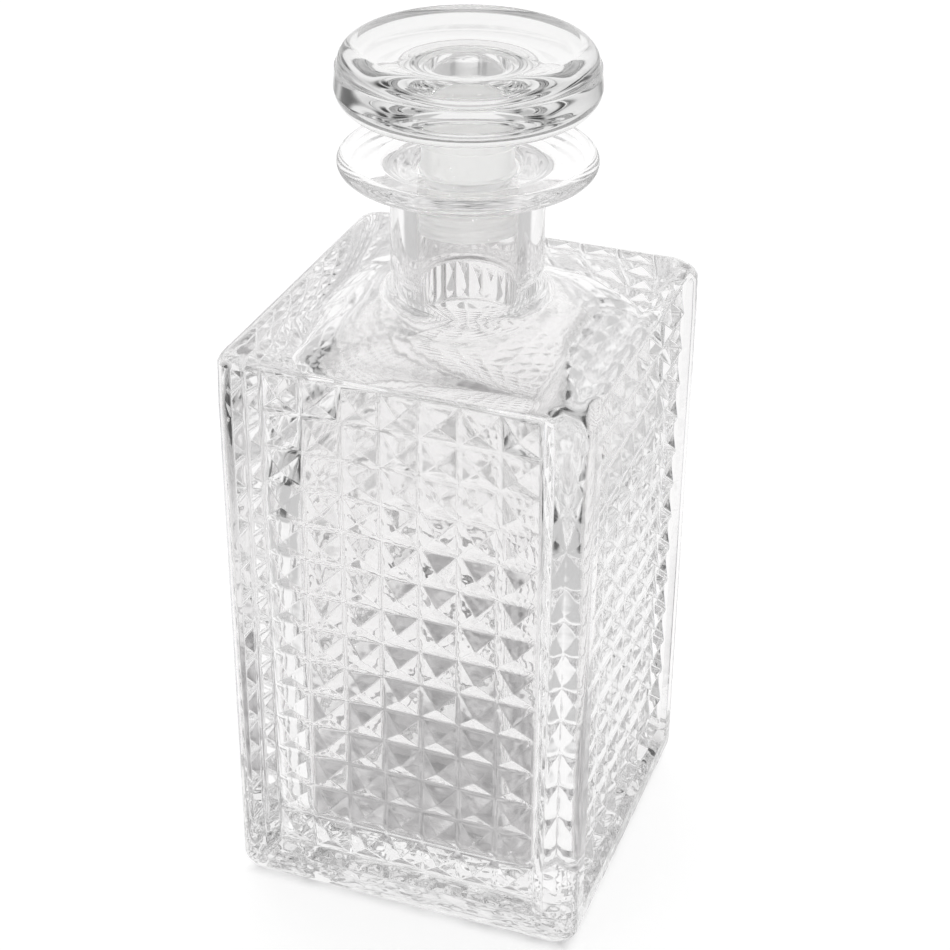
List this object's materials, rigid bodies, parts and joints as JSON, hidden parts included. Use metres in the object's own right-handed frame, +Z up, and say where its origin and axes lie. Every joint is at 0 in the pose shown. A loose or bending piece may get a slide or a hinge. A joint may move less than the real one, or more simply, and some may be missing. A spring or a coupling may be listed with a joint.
{
  "type": "cut crystal decanter",
  "caption": "Square crystal decanter cut with pointed studs on every face, with a collared neck and a round glass stopper in a ribbed seal.",
  "frame": {"origin": "centre of the base, on the surface that the decanter stands on", "axes": "+Z up along the neck, -Y out of the front face"},
  "size_m": [0.09, 0.09, 0.2138],
  "materials": {
    "crystal": "polished",
    "stopper_crystal": "polished",
    "seal_plastic": "satin"
  },
  "bodies": {
    "bottle": {"bottle": "crystal"},
    "seal": {"stopper_seal": "seal_plastic"},
    "stopper": {"stopper": "stopper_crystal"}
  },
  "joints": [
    {"name": "stopper_lift", "type": "slide", "parent": "bottle", "child": "seal", "axis": [0, 0, 1], "range_m": [0, 0.05]},
    {"name": "stopper_twist", "type": "hinge", "parent": "seal", "child": "stopper", "pos_m": [0, 0, 0.2], "axis": [0, 0, 1], "continuous": true}
  ]
}
